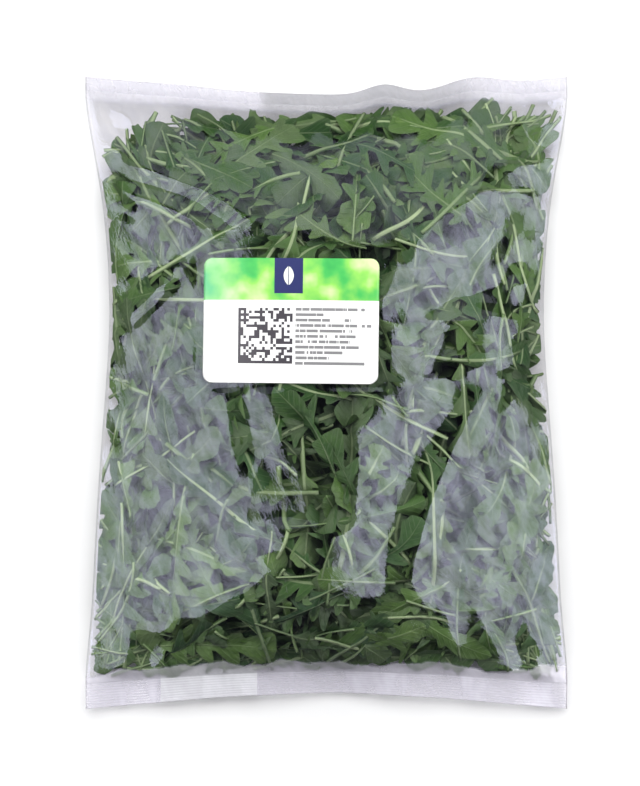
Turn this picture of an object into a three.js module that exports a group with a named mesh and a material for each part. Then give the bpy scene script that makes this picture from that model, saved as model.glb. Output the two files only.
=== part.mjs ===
// A clear film bag packed with salad leaves, lying on its back with its label up.
// Millimetres. X runs across the bag, Y towards its top seal and Z up from the table. The origin is
// on the table, under the middle of the bag.
//
// The bag is a film tube, folded along both sides and sealed flat across both ends. Its surface is
// worked out on the flat film: u runs from -1 at the left fold to 1 at the right one, and v from -1
// at the bottom edge to 1 at the top edge.

import * as THREE from "three";

// The flat bag and its end seals
const HALF_WIDTH = 141;
const HALF_LENGTH = 185;
const TOP_FIN_LENGTH = 8;
const BOTTOM_FIN_LENGTH = 15;
const RIM_THICKNESS = 1;

// The filled bag: the leaves slump away from its lower end, and its ends round off by these powers
const FRONT_RISE = 53;
const LOWER_SLUMP = 0.32;
const SLUMP_SPAN = [0.3, -0.6];
const TOP_END_POWER = 4;
const BOTTOM_END_POWER = 5;

// The line where front and back film meet: at the sides, and lower in the waving fins
const SIDE_FOLD_HEIGHT = 14;
const FIN_HEIGHT = 8;
const SEAM_DROP_SPAN = [0.45, 0.95];
const FIN_WAVE = 1.6;
const FIN_WAVE_SPAN = [0.8, 1];
const FIN_WAVES = [
  { share: 1, across: 7.3, along: 1.9, shift: 0 },
  { share: 0.6, across: 13.1, along: 0, shift: -2.2 },
];

// How far the middle of each end is drawn in, and the swells along the top edge
const TOP_PULL = 10.5;
const TOP_PULL_POWER = 1.1;
const BOTTOM_PULL = 9.3;
const BOTTOM_PULL_POWER = 1.3;
const PULL_FADE_POWER = 3;
const TOP_EDGE_SWELLS = [
  { at: 0.24, halfWidth: 0.1, reach: 5.4 },
  { at: 0.6, halfWidth: 0.14, reach: 6 },
  { at: -0.55, halfWidth: 0.25, reach: 1.8 },
];

// The label, placed on the flat film
const LABEL_WIDTH = 100;
const LABEL_HEIGHT = 70;
const LABEL_CORNER = 5;
const LABEL_THICKNESS = 0.5;
const LABEL_GAP = 0.35;
const LABEL_CENTRE_X = -21;
const LABEL_CENTRE_Y = 40.5;
const LABEL_TURN = THREE.MathUtils.degToRad(-0.7);
const LABEL_CALM_SPAN = [1, 6];
const LABEL_COLUMNS = 16;
const LABEL_CORNER_STEPS = 3;
const LABEL_MIDDLE_STEPS = 8;

// Main folds of the front film: crest lines in plan, their height, less than 0 for a valley, and
// their half width
const FRONT_FOLDS = [
  // The broad ridge down the lower middle in two parts, and the crease to its right
  { crest: [[11, -4], [11, -44], [4, -84]], height: 3.5, halfWidth: 26 },
  { crest: [[-12, -66], [-13, -100], [-9, -132]], height: 8, halfWidth: 34 },
  { crest: [[92, -2], [74, -30], [58, -66], [50, -96], [47, -132]], height: 5, halfWidth: 10.5 },
  // Upper right: a ridge in from the corner, with a valley below it
  { crest: [[104, 126], [66, 100], [40, 72]], height: 4.5, halfWidth: 14 },
  { crest: [[126, 106], [96, 62], [42, 48]], height: -5, halfWidth: 12 },
  // Right of the label: a valley, the bulge beside it and a low ridge below both
  { crest: [[62, 40], [62, 6]], height: -4, halfWidth: 16 },
  { crest: [[104, 50], [100, 30], [100, 6]], height: 10, halfWidth: 22 },
  { crest: [[106, -6], [84, 4], [58, 20]], height: 3.5, halfWidth: 10 },
  // Upper left: two narrow ridges in from the corner, and a sharp one beside the label
  { crest: [[-124, 134], [-98, 127], [-69, 115], [-40, 98]], height: 3.6, halfWidth: 6 },
  { crest: [[-126, 116], [-103, 110], [-84, 102], [-66, 91]], height: 3.6, halfWidth: 6.5 },
  { crest: [[-134, 30], [-112, 42], [-84, 68]], height: 7, halfWidth: 7.5 },
  // Two small ridges below the label, and one round the lower left corner
  { crest: [[-60, 6], [-56, -20], [-50, -44]], height: 2, halfWidth: 8 },
  { crest: [[-33, 6], [-28, -16], [-24, -34]], height: 2.5, halfWidth: 8 },
  { crest: [[-120, -138], [-75, -128], [-42, -105], [-30, -85]], height: 4, halfWidth: 12 },
];
const FOLD_END_HEIGHT = 0.35;
const FOLD_END_LENGTH = 0.2;

// Pleats beside the end seals and puckers along the side folds, with how their phase drifts
const PLEAT_HEIGHT = 1.5;
const PLEAT_PITCH = 27;
const PLEAT_REACH = 18;
const PLEAT_DRIFT = 3;
const PUCKER_HEIGHT = 1.3;
const PUCKER_PITCH = 25;
const PUCKER_REACH = 13;
const PUCKER_DRIFT_ACROSS = 5;
const PUCKER_DRIFT_ALONG = 2.5;

// Long low lumps where leaves press on the film
const LUMP_COUNT = 50;
const LUMP_SEED = 4177;
const LUMP_AREA = { halfWidth: 115, halfLength: 150 };
const LUMP_HEIGHT = [0.3, 0.9];
const LUMP_HALF_LENGTH = [18, 40];
const LUMP_HALF_WIDTH = [8, 13];

// Shares of the flat film over which relief rises from nothing at the side folds and at the fins
const RELIEF_RISE = { side: 0.14, fin: 0.1 };
const GATHER_RISE = { side: 0.125, fin: 0.03 };

// The back film: the shares across and along at which it leaves the table, and how its curve up to
// the seam is rounded
const BACK_LIFT_ACROSS = 0.6;
const BACK_LIFT_ALONG = 0.62;
const BACK_LIFT_POWER = 1.2;

// Cells of the front film, which are twice as fine as the back film's
const CELLS_ACROSS = 52;
const BOTTOM_FIN_ROWS = 4;
const BODY_ROWS = 62;
const TOP_FIN_ROWS = 2;
const CELLS_ALONG = BOTTOM_FIN_ROWS + BODY_ROWS + TOP_FIN_ROWS;

const TOP_FIN_START = 1 - TOP_FIN_LENGTH / HALF_LENGTH;
const BOTTOM_FIN_START = 1 - BOTTOM_FIN_LENGTH / HALF_LENGTH;

const smoothstep = (from, to, value) => {
  const t = Math.min(Math.max((value - from) / (to - from), 0), 1);
  return t * t * (3 - 2 * t);
};

const bell = (distance, halfWidth) => Math.exp(-((distance / halfWidth) ** 2));

function seededRandom(seed) {
  let state = seed;
  return (low, high) => {
    state = (state * 16807) % 2147483647;
    return low + ((high - low) * state) / 2147483647;
  };
}

// Where the fin on v's side of the bag begins, and how far v is short of it
const finStart = (v) => (v > 0 ? TOP_FIN_START : BOTTOM_FIN_START);
const beforeFin = (v) => finStart(v) - Math.abs(v);
const beforeSide = (u) => 1 - Math.abs(u);

// Share of the full rise at v: whole in the upper half, lower towards the bottom seal, none at a fin
function fullness(v) {
  const w = Math.min(Math.abs(v) / finStart(v), 1);
  const power = v > 0 ? TOP_END_POWER : BOTTOM_END_POWER;
  return (1 - LOWER_SLUMP * smoothstep(...SLUMP_SPAN, v)) * (1 - w ** power);
}

// Half the bag's width where its film, HALF_WIDTH long, arches up by rise
function halfChord(rise) {
  return (HALF_WIDTH + Math.sqrt(HALF_WIDTH ** 2 - (8 / 3) * rise ** 2)) / 2;
}

// Height of the line where front and back film meet, with the waves of the flat fins
function seamHeight(u, v) {
  const drop = smoothstep(...SEAM_DROP_SPAN, Math.abs(v));
  let wave = 0;
  for (const { share, across, along, shift } of FIN_WAVES) {
    wave += share * Math.sin(across * u + along * v + shift);
  }
  return THREE.MathUtils.lerp(SIDE_FOLD_HEIGHT, FIN_HEIGHT, drop)
    + FIN_WAVE * wave * smoothstep(...FIN_WAVE_SPAN, Math.abs(v));
}

// Distance along Y on the flat film, drawn in at the ends
function planY(u, v) {
  const middle = 1 - u * u;
  let pull = v > 0 ? TOP_PULL * middle ** TOP_PULL_POWER : BOTTOM_PULL * middle ** BOTTOM_PULL_POWER;
  if (v > 0) {
    for (const { at, halfWidth, reach } of TOP_EDGE_SWELLS) pull -= reach * bell(u - at, halfWidth);
  }
  return v * HALF_LENGTH - Math.sign(v) * pull * Math.abs(v) ** PULL_FADE_POWER;
}

// Distance of a point from a crest line, and its share of the way along it
function crestDistance(crest, x, y) {
  let nearest = Infinity;
  let along = 0;
  for (let i = 0; i + 1 < crest.length; i++) {
    const [ax, ay] = crest[i];
    const [bx, by] = crest[i + 1];
    const length2 = (bx - ax) ** 2 + (by - ay) ** 2;
    const t = Math.min(Math.max(((x - ax) * (bx - ax) + (y - ay) * (by - ay)) / length2, 0), 1);
    const distance = Math.hypot(x - ax - t * (bx - ax), y - ay - t * (by - ay));
    if (distance < nearest) {
      nearest = distance;
      along = (i + t) / (crest.length - 1);
    }
  }
  return [nearest, along];
}

// Each fold is a bell across its crest, lower at both ends of it
function foldHeight(x, y) {
  let height = 0;
  for (const fold of FRONT_FOLDS) {
    const [distance, along] = crestDistance(fold.crest, x, y);
    const fromEnd = smoothstep(0, FOLD_END_LENGTH, Math.min(along, 1 - along));
    const taper = THREE.MathUtils.lerp(FOLD_END_HEIGHT, 1, fromEnd);
    height += fold.height * taper * bell(distance, fold.halfWidth);
  }
  return height;
}

function makeLumps() {
  const random = seededRandom(LUMP_SEED);
  return Array.from({ length: LUMP_COUNT }, () => ({
    x: random(-LUMP_AREA.halfWidth, LUMP_AREA.halfWidth),
    y: random(-LUMP_AREA.halfLength, LUMP_AREA.halfLength),
    turn: random(0, Math.PI),
    halfLength: random(...LUMP_HALF_LENGTH),
    halfWidth: random(...LUMP_HALF_WIDTH),
    height: random(...LUMP_HEIGHT),
  }));
}

const LUMPS = makeLumps();

function lumpHeight(x, y) {
  let height = 0;
  for (const lump of LUMPS) {
    const dx = x - lump.x;
    const dy = y - lump.y;
    const along = dx * Math.cos(lump.turn) + dy * Math.sin(lump.turn);
    const across = dy * Math.cos(lump.turn) - dx * Math.sin(lump.turn);
    height += lump.height * bell(along, lump.halfLength) * bell(across, lump.halfWidth);
  }
  return height;
}

// Pleats run in from the end seals, and puckers in from the side folds
function gatherHeight(u, v) {
  const fromFin = beforeFin(v) * HALF_LENGTH;
  const fromSide = beforeSide(u) * HALF_WIDTH;
  const pleat = Math.sin((2 * Math.PI * u * HALF_WIDTH) / PLEAT_PITCH + PLEAT_DRIFT * v);
  const drift = PUCKER_DRIFT_ACROSS * u + PUCKER_DRIFT_ALONG * v * v;
  const pucker = Math.sin((2 * Math.PI * v * HALF_LENGTH) / PUCKER_PITCH + drift);
  return (
    PLEAT_HEIGHT * pleat * bell(fromFin - PLEAT_REACH, PLEAT_REACH) +
    PUCKER_HEIGHT * pucker * bell(fromSide - PUCKER_REACH, PUCKER_REACH)
  );
}

// 0 under the label, which holds the film smooth, and 1 away from it
function calm(x, y) {
  const outX = Math.abs(x - LABEL_CENTRE_X) - LABEL_WIDTH / 2;
  const outY = Math.abs(y - LABEL_CENTRE_Y) - LABEL_HEIGHT / 2;
  return smoothstep(...LABEL_CALM_SPAN, Math.max(outX, outY));
}

// The front film: across the bag it is an arc of a circle, measured along the arc
function frontPoint(u, v) {
  const rise = FRONT_RISE * fullness(v);
  const chord = halfChord(rise);
  const angle = Math.max(2 * Math.atan2(rise, chord), 1e-3);
  const x = (chord * Math.sin(angle * u)) / Math.sin(angle);
  const y = planY(u, v);
  const arch = (Math.cos(angle * u) - Math.cos(angle)) / (1 - Math.cos(angle));
  const raised = (foldHeight(x, y) + lumpHeight(x, y))
    * smoothstep(0, RELIEF_RISE.side, beforeSide(u)) * smoothstep(0, RELIEF_RISE.fin, beforeFin(v));
  const gathered = gatherHeight(u, v)
    * Math.min(1, beforeSide(u) / GATHER_RISE.side) * smoothstep(0, GATHER_RISE.fin, beforeFin(v));
  const relief = calm(x, y) * (raised + gathered);
  return new THREE.Vector3(x, y, seamHeight(u, v) + RIM_THICKNESS / 2 + rise * arch + relief);
}

// The back film: flat on the table, turning up to the seam near every edge
function backPoint(u, v) {
  const chord = halfChord(FRONT_RISE * fullness(v));
  const level = (1 - smoothstep(BACK_LIFT_ACROSS, 1, Math.abs(u)))
    * (1 - smoothstep(BACK_LIFT_ALONG, finStart(v), Math.abs(v)));
  const z = (seamHeight(u, v) - RIM_THICKNESS / 2) * (1 - level) ** BACK_LIFT_POWER;
  return new THREE.Vector3(chord * u, planY(u, v), z);
}

// Collects points and triangles for one closed surface
class Surface {
  constructor() {
    this.positions = [];
    this.faces = [];
  }

  point(p) {
    this.positions.push(p.x, p.y, p.z);
    return this.positions.length / 3 - 1;
  }

  polygon(...corners) {
    for (let i = 1; i + 1 < corners.length; i++) this.faces.push(corners[0], corners[i], corners[i + 1]);
  }

  geometry() {
    const geometry = new THREE.BufferGeometry();
    geometry.setAttribute("position", new THREE.Float32BufferAttribute(this.positions, 3));
    geometry.setIndex(this.faces);
    geometry.computeVertexNormals();
    return geometry;
  }
}

// The v of each row of points, with a row on the inner edge of each fin
function rowV(j) {
  const fromTop = CELLS_ALONG - j;
  if (j < BOTTOM_FIN_ROWS) return -1 + ((1 - BOTTOM_FIN_START) * j) / BOTTOM_FIN_ROWS;
  if (fromTop < TOP_FIN_ROWS) return 1 - ((1 - TOP_FIN_START) * fromTop) / TOP_FIN_ROWS;
  return THREE.MathUtils.lerp(-BOTTOM_FIN_START, TOP_FIN_START, (j - BOTTOM_FIN_ROWS) / BODY_ROWS);
}

// Front and back film, closed by a thin rim all round. The back film's cells are two front cells
// wide and long, so those on the edge take in the front's points between their corners.
function bagGeometry() {
  const surface = new Surface();
  const u = (i) => (2 * i) / CELLS_ACROSS - 1;
  const onEdge = (i, j) => i === 0 || j === 0 || i === CELLS_ACROSS || j === CELLS_ALONG;
  const front = new Map();
  const back = new Map();
  for (let j = 0; j <= CELLS_ALONG; j++) {
    for (let i = 0; i <= CELLS_ACROSS; i++) {
      front.set(`${i},${j}`, surface.point(frontPoint(u(i), rowV(j))));
      if (onEdge(i, j) || (i % 2 === 0 && j % 2 === 0)) {
        back.set(`${i},${j}`, surface.point(backPoint(u(i), rowV(j))));
      }
    }
  }
  const at = (points, i, j) => points.get(`${i},${j}`);
  for (let j = 0; j < CELLS_ALONG; j++) {
    for (let i = 0; i < CELLS_ACROSS; i++) {
      surface.polygon(at(front, i, j), at(front, i + 1, j), at(front, i + 1, j + 1), at(front, i, j + 1));
    }
  }
  for (let j = 0; j < CELLS_ALONG; j += 2) {
    for (let i = 0; i < CELLS_ACROSS; i += 2) {
      const ring = [[0, 0], [0, 1], [0, 2], [1, 2], [2, 2], [2, 1], [2, 0], [1, 0]]
        .map(([di, dj]) => at(back, i + di, j + dj));
      const corners = ring.filter((point) => point !== undefined);
      if (corners.length === 4) {
        surface.polygon(...corners);
        continue;
      }
      const middle = surface.point(backPoint(u(i + 1), rowV(j + 1)));
      corners.forEach((point, k) => surface.polygon(middle, point, corners[(k + 1) % corners.length]));
    }
  }
  const wall = (a, b) => surface.polygon(at(back, ...a), at(back, ...b), at(front, ...b), at(front, ...a));
  for (let i = 0; i < CELLS_ACROSS; i++) {
    wall([i, 0], [i + 1, 0]);
    wall([i + 1, CELLS_ALONG], [i, CELLS_ALONG]);
  }
  for (let j = 0; j < CELLS_ALONG; j++) {
    wall([CELLS_ACROSS, j], [CELLS_ACROSS, j + 1]);
    wall([0, j + 1], [0, j]);
  }
  return surface.geometry();
}

// A point of the label, p to the right of its middle and q above it, lift above the front film
function labelPoint(p, q, lift) {
  const x = LABEL_CENTRE_X + p * Math.cos(LABEL_TURN) - q * Math.sin(LABEL_TURN);
  const y = LABEL_CENTRE_Y + p * Math.sin(LABEL_TURN) + q * Math.cos(LABEL_TURN);
  const u = x / HALF_WIDTH;
  const v = y / HALF_LENGTH;
  const step = 0.01;
  const middle = frontPoint(u, v);
  const across = frontPoint(u + step, v).sub(frontPoint(u - step, v));
  const along = frontPoint(u, v + step).sub(frontPoint(u, v - step));
  return middle.addScaledVector(across.cross(along).normalize(), lift);
}

// The label: rows from its bottom edge to its top edge, shorter where its corners are round
function labelGeometry() {
  const surface = new Surface();
  const straight = LABEL_HEIGHT / 2 - LABEL_CORNER;
  const rows = [];
  for (let k = 0; k <= LABEL_CORNER_STEPS; k++) {
    const turn = (Math.PI / 2) * (k / LABEL_CORNER_STEPS);
    rows.push([-straight - LABEL_CORNER * Math.cos(turn), LABEL_CORNER * (1 - Math.sin(turn))]);
  }
  for (let k = 1; k < LABEL_MIDDLE_STEPS; k++) {
    rows.push([-straight + (2 * straight * k) / LABEL_MIDDLE_STEPS, 0]);
  }
  for (let k = 0; k <= LABEL_CORNER_STEPS; k++) {
    const [q, inset] = rows[LABEL_CORNER_STEPS - k];
    rows.push([-q, inset]);
  }
  const layer = (lift) => rows.map(([q, inset]) =>
    Array.from({ length: LABEL_COLUMNS + 1 }, (_, i) => {
      const p = (LABEL_WIDTH / 2 - inset) * ((2 * i) / LABEL_COLUMNS - 1);
      return surface.point(labelPoint(p, q, lift));
    }));
  const low = layer(LABEL_GAP);
  const high = layer(LABEL_GAP + LABEL_THICKNESS);
  const last = rows.length - 1;
  for (let j = 0; j < last; j++) {
    for (let i = 0; i < LABEL_COLUMNS; i++) {
      surface.polygon(high[j][i], high[j][i + 1], high[j + 1][i + 1], high[j + 1][i]);
      surface.polygon(low[j][i], low[j + 1][i], low[j + 1][i + 1], low[j][i + 1]);
    }
    const right = LABEL_COLUMNS;
    surface.polygon(low[j][right], low[j + 1][right], high[j + 1][right], high[j][right]);
    surface.polygon(low[j + 1][0], low[j][0], high[j][0], high[j + 1][0]);
  }
  for (let i = 0; i < LABEL_COLUMNS; i++) {
    surface.polygon(low[0][i], low[0][i + 1], high[0][i + 1], high[0][i]);
    surface.polygon(low[last][i + 1], low[last][i], high[last][i], high[last][i + 1]);
  }
  return surface.geometry();
}

function namedMesh(name, geometry, material) {
  const mesh = new THREE.Mesh(geometry, material);
  mesh.name = name;
  return mesh;
}

const packedLeaves = new THREE.MeshStandardMaterial({
  color: 0x5f7f56, roughness: 0.35, metalness: 0, flatShading: true,
});
const labelPaper = new THREE.MeshStandardMaterial({ color: 0xfcfcfa, roughness: 0.45, metalness: 0 });

const bagOfLeaves = new THREE.Group();
bagOfLeaves.add(namedMesh("bag", bagGeometry(), packedLeaves));
bagOfLeaves.add(namedMesh("label", labelGeometry(), labelPaper));

export default bagOfLeaves;
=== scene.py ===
"""A clear film bag of rocket leaves, lying on its back: the film, the leaves inside and the label.

The film is a tube, folded along both sides and sealed flat across both ends. Everything is worked out
on the flat film, where u runs from -1 at the left fold to 1 at the right one, and v from -1 at the
bottom edge to 1 at the top edge. Lengths are in millimetres until a mesh is made.
"""

import math

import bpy
import numpy as np
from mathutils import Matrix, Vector


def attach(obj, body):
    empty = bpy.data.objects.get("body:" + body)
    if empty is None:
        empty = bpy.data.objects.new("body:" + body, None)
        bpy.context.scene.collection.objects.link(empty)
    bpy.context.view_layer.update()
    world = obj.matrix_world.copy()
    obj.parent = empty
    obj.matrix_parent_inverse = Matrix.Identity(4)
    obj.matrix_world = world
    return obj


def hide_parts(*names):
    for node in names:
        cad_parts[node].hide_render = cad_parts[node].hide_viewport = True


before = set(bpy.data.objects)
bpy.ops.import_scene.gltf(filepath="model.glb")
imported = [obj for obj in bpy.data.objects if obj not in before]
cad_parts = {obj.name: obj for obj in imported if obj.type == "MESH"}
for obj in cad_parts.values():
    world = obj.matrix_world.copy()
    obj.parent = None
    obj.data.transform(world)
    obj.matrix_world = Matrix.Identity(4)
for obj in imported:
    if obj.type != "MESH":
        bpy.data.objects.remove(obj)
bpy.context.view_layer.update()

METRES = 0.001

# A UV map holds flat millimetres times this
UV_SCALE = 0.01

# The flat bag and its end seals
HALF_WIDTH = 141
HALF_LENGTH = 185
TOP_FIN_LENGTH = 8
BOTTOM_FIN_LENGTH = 15
TOP_FIN_START = 1 - TOP_FIN_LENGTH / HALF_LENGTH
BOTTOM_FIN_START = 1 - BOTTOM_FIN_LENGTH / HALF_LENGTH

# The filled bag: the leaves slump away from its lower end, and its ends round off by these powers
FRONT_RISE = 53
LOWER_SLUMP = 0.32
SLUMP_SPAN = (0.3, -0.6)
TOP_END_POWER, BOTTOM_END_POWER = 4, 5

# Room between front and back film in the flat seams, and how steeply it grows in from the rim
FILM_SPACING = 0.3
RIM_STEEPNESS = 40

# The line where front and back film meet: at the sides, and lower in the waving fins. Each wave has a
# share, a rate across and along, and a shift
SIDE_FOLD_HEIGHT, FIN_HEIGHT = 14, 8
SEAM_DROP_SPAN = (0.45, 0.95)
FIN_WAVE = 1.6
FIN_WAVE_SPAN = (0.8, 1)
FIN_WAVES = [(1, 7.3, 1.9, 0), (0.6, 13.1, 0, -2.2)]

# How far the middle of each end is drawn in, with the powers of that curve, and the swells along the
# top edge: at, half width, reach
TOP_PULL, TOP_PULL_POWER = 10.5, 1.1
BOTTOM_PULL, BOTTOM_PULL_POWER = 9.3, 1.3
PULL_FADE_POWER = 3
TOP_EDGE_SWELLS = [(0.24, 0.1, 5.4), (0.6, 0.14, 6.0), (-0.55, 0.25, 1.8)]

# Main folds of the front film: crest line in plan, height (less than 0 for a valley) and half width
FRONT_FOLDS = [
    # The broad ridge down the lower middle in two parts, and the crease to its right
    ([(11, -4), (11, -44), (4, -84)], 3.5, 26),
    ([(-12, -66), (-13, -100), (-9, -132)], 8, 34),
    ([(92, -2), (74, -30), (58, -66), (50, -96), (47, -132)], 5, 10.5),
    # Upper right: a ridge in from the corner, with a valley below it
    ([(104, 126), (66, 100), (40, 72)], 4.5, 14),
    ([(126, 106), (96, 62), (42, 48)], -5, 12),
    # Right of the label: a valley, the bulge beside it and a low ridge below both
    ([(62, 40), (62, 6)], -4, 16),
    ([(104, 50), (100, 30), (100, 6)], 10, 22),
    ([(106, -6), (84, 4), (58, 20)], 3.5, 10),
    # Upper left: two narrow ridges in from the corner, and a sharp one beside the label
    ([(-124, 134), (-98, 127), (-69, 115), (-40, 98)], 3.6, 6),
    ([(-126, 116), (-103, 110), (-84, 102), (-66, 91)], 3.6, 6.5),
    ([(-134, 30), (-112, 42), (-84, 68)], 7, 7.5),
    # Two small ridges below the label, and one round the lower left corner
    ([(-60, 6), (-56, -20), (-50, -44)], 2, 8),
    ([(-33, 6), (-28, -16), (-24, -34)], 2.5, 8),
    ([(-120, -138), (-75, -128), (-42, -105), (-30, -85)], 4, 12),
]
FOLD_END_HEIGHT, FOLD_END_LENGTH = 0.35, 0.2

# Pleats beside the end seals and puckers along the side folds, with how their phase drifts
PLEAT_HEIGHT, PLEAT_PITCH, PLEAT_REACH, PLEAT_DRIFT = 1.5, 27, 18, 3
PUCKER_HEIGHT, PUCKER_PITCH, PUCKER_REACH = 1.3, 25, 13
PUCKER_DRIFT_ACROSS, PUCKER_DRIFT_ALONG = 5, 2.5

# Long low lumps where leaves press on the film
LUMP_COUNT = 50
LUMP_SEED = 4177
LUMP_AREA_HALF_WIDTH, LUMP_AREA_HALF_LENGTH = 115, 150
LUMP_HEIGHT = (0.3, 0.9)
LUMP_HALF_LENGTH = (18, 40)
LUMP_HALF_WIDTH = (8, 13)

# Fine creases: the cells of the broad and the fine ones, across and along, and the height of each with
# what is added close to the folds and the seals
CREASE_SIDE_SPAN, CREASE_END_SPAN = (0.7, 1), (0.72, 0.95)
BROAD_CELL, FINE_CELL, FINE_SLANT = (26, 34), (9, 11), 30
BROAD_HEIGHT, BROAD_EDGE_HEIGHT = 0.5, 0.5
FINE_HEIGHT, FINE_EDGE_HEIGHT = 0.08, 0.4

# Shares of the flat film over which relief rises from nothing at the side folds and at the fins
RELIEF_RISE_SIDE, RELIEF_RISE_FIN = 0.14, 0.1
GATHER_RISE_SIDE, GATHER_RISE_FIN = 0.125, 0.03

# The back film: the shares across and along at which it leaves the table, and how its curve up to the
# seam is rounded
BACK_LIFT_ACROSS, BACK_LIFT_ALONG, BACK_LIFT_POWER = 0.6, 0.62, 1.2

# The label, placed on the flat film
LABEL_WIDTH, LABEL_HEIGHT, LABEL_CORNER = 100, 70, 5
LABEL_CENTRE_X, LABEL_CENTRE_Y = -21, 40.5
LABEL_TURN = math.radians(-0.7)
LABEL_CALM_SPAN = (1, 6)
LABEL_GAP, LABEL_THICKNESS = 0.25, 0.25
LABEL_COLUMNS, LABEL_CORNER_STEPS, LABEL_MIDDLE_STEPS = 60, 8, 36

# The crimp ribs of the bottom fin, the band where the tube's film laps over, where the film turns hazy
# beside the top fin and beside the bottom one, and the middle stretch of the top, which is greyer
CRIMP_PITCH = 1.6
LAP_LEFT, LAP_RIGHT = -97, -40.5
TOP_HAZE_START, LOW_HAZE_START = 169, 162
TOP_MIDDLE_LEFT, TOP_MIDDLE_RIGHT = (-42, -34), (60, 105)
SIDE_WRINKLE_SPAN = (0.82, 0.97)

# Cells of the film mesh
FILM_COLUMNS = 200
FILM_BODY_ROWS = 276
FILM_BOTTOM_ROWS = 36
FILM_TOP_ROWS = 20


# Small helpers for arrays


def smoothstep(low, high, value):
    """0 below low, 1 above high, and a smooth rise between."""
    t = np.clip((value - low) / (high - low), 0, 1)
    return t * t * (3 - 2 * t)


def bell(distance, half_width):
    """A bell curve, 1 at distance 0 and 1/e at half_width."""
    return np.exp(-((distance / half_width) ** 2))


def lattice_noise(x, y, seed):
    """Smooth noise from -1 to 1: a hashed value at each whole number pair, blended between them."""
    xi, yi = np.floor(x), np.floor(y)
    fx, fy = smoothstep(0, 1, x - xi), smoothstep(0, 1, y - yi)

    def knot(i, j):
        hashed = np.sin(i * 127.1 + j * 311.7 + seed * 74.7) * 43758.5453
        return 2 * (hashed - np.floor(hashed)) - 1

    low = knot(xi, yi) * (1 - fx) + knot(xi + 1, yi) * fx
    high = knot(xi, yi + 1) * (1 - fx) + knot(xi + 1, yi + 1) * fx
    return low * (1 - fy) + high * fy


class SeededDraw:
    """Numbers by the rule state = 16807 state mod 2147483647, the same as in the bag's solid."""

    def __init__(self, seed):
        self.state = seed

    def __call__(self, low, high):
        self.state = (self.state * 16807) % 2147483647
        return low + (high - low) * self.state / 2147483647


# The surface of the bag


def fin_start(v):
    """Where the fin on v's side of the bag begins, as a share of the half length."""
    return np.where(v > 0, TOP_FIN_START, BOTTOM_FIN_START)


def fullness(v):
    """Share of the full rise: 1 in the upper half, lower towards the bottom seal, none at a fin."""
    w = np.minimum(np.abs(v) / fin_start(v), 1)
    power = np.where(v > 0, TOP_END_POWER, BOTTOM_END_POWER)
    return (1 - LOWER_SLUMP * smoothstep(*SLUMP_SPAN, v)) * (1 - w**power)


def half_chord(rise):
    """Half the bag's width where its film, HALF_WIDTH long, arches up by rise."""
    return (HALF_WIDTH + np.sqrt(HALF_WIDTH**2 - 8 / 3 * rise**2)) / 2


def seam_height(u, v):
    """Height of the line where front and back film meet: lower at the ends, with waves in the fins."""
    drop = smoothstep(*SEAM_DROP_SPAN, np.abs(v))
    level = SIDE_FOLD_HEIGHT + (FIN_HEIGHT - SIDE_FOLD_HEIGHT) * drop
    wave = sum(
        share * np.sin(across * u + along * v + shift) for share, across, along, shift in FIN_WAVES
    )
    return level + FIN_WAVE * wave * smoothstep(*FIN_WAVE_SPAN, np.abs(v))


def plan_y(u, v):
    """Y of a point of the flat film, which is drawn in towards the middle of each end: by a power of
    1 - u squared, less the swells of the top edge, and fading by a power of v."""
    top = TOP_PULL * (1 - u * u) ** TOP_PULL_POWER - sum(
        reach * bell(u - at, half_width) for at, half_width, reach in TOP_EDGE_SWELLS
    )
    bottom = BOTTOM_PULL * (1 - u * u) ** BOTTOM_PULL_POWER
    pull = np.where(v > 0, top, bottom)
    return v * HALF_LENGTH - np.sign(v) * pull * np.abs(v) ** PULL_FADE_POWER


def crest_distance(crest, x, y):
    """Distance of points from a line of crest points, and their share of the way along it."""
    nearest, along = np.full(x.shape, np.inf), np.zeros(x.shape)
    for i, ((ax, ay), (bx, by)) in enumerate(zip(crest, crest[1:])):
        dx, dy = bx - ax, by - ay
        t = np.clip(((x - ax) * dx + (y - ay) * dy) / (dx * dx + dy * dy), 0, 1)
        distance = np.hypot(x - ax - t * dx, y - ay - t * dy)
        along = np.where(distance < nearest, (i + t) / (len(crest) - 1), along)
        nearest = np.minimum(distance, nearest)
    return nearest, along


def fold_height(x, y):
    """Sum of the folds: each a bell curve across its crest, lower at both ends of it."""
    height = 0
    for crest, rise, half_width in FRONT_FOLDS:
        distance, along = crest_distance(crest, x, y)
        inwards = smoothstep(0, FOLD_END_LENGTH, np.minimum(along, 1 - along))
        taper = FOLD_END_HEIGHT + (1 - FOLD_END_HEIGHT) * inwards
        height = height + rise * taper * bell(distance, half_width)
    return height


def lump_height(x, y):
    """Sum of long low mounds, each a bell curve along and across a seeded direction."""
    draw = SeededDraw(LUMP_SEED)
    height = np.zeros(x.shape)
    for _ in range(LUMP_COUNT):
        dx = x - draw(-LUMP_AREA_HALF_WIDTH, LUMP_AREA_HALF_WIDTH)
        dy = y - draw(-LUMP_AREA_HALF_LENGTH, LUMP_AREA_HALF_LENGTH)
        turn = draw(0, math.pi)
        half_length, half_width = draw(*LUMP_HALF_LENGTH), draw(*LUMP_HALF_WIDTH)
        along = dx * math.cos(turn) + dy * math.sin(turn)
        across = dy * math.cos(turn) - dx * math.sin(turn)
        height += draw(*LUMP_HEIGHT) * bell(along, half_length) * bell(across, half_width)
    return height


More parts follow.
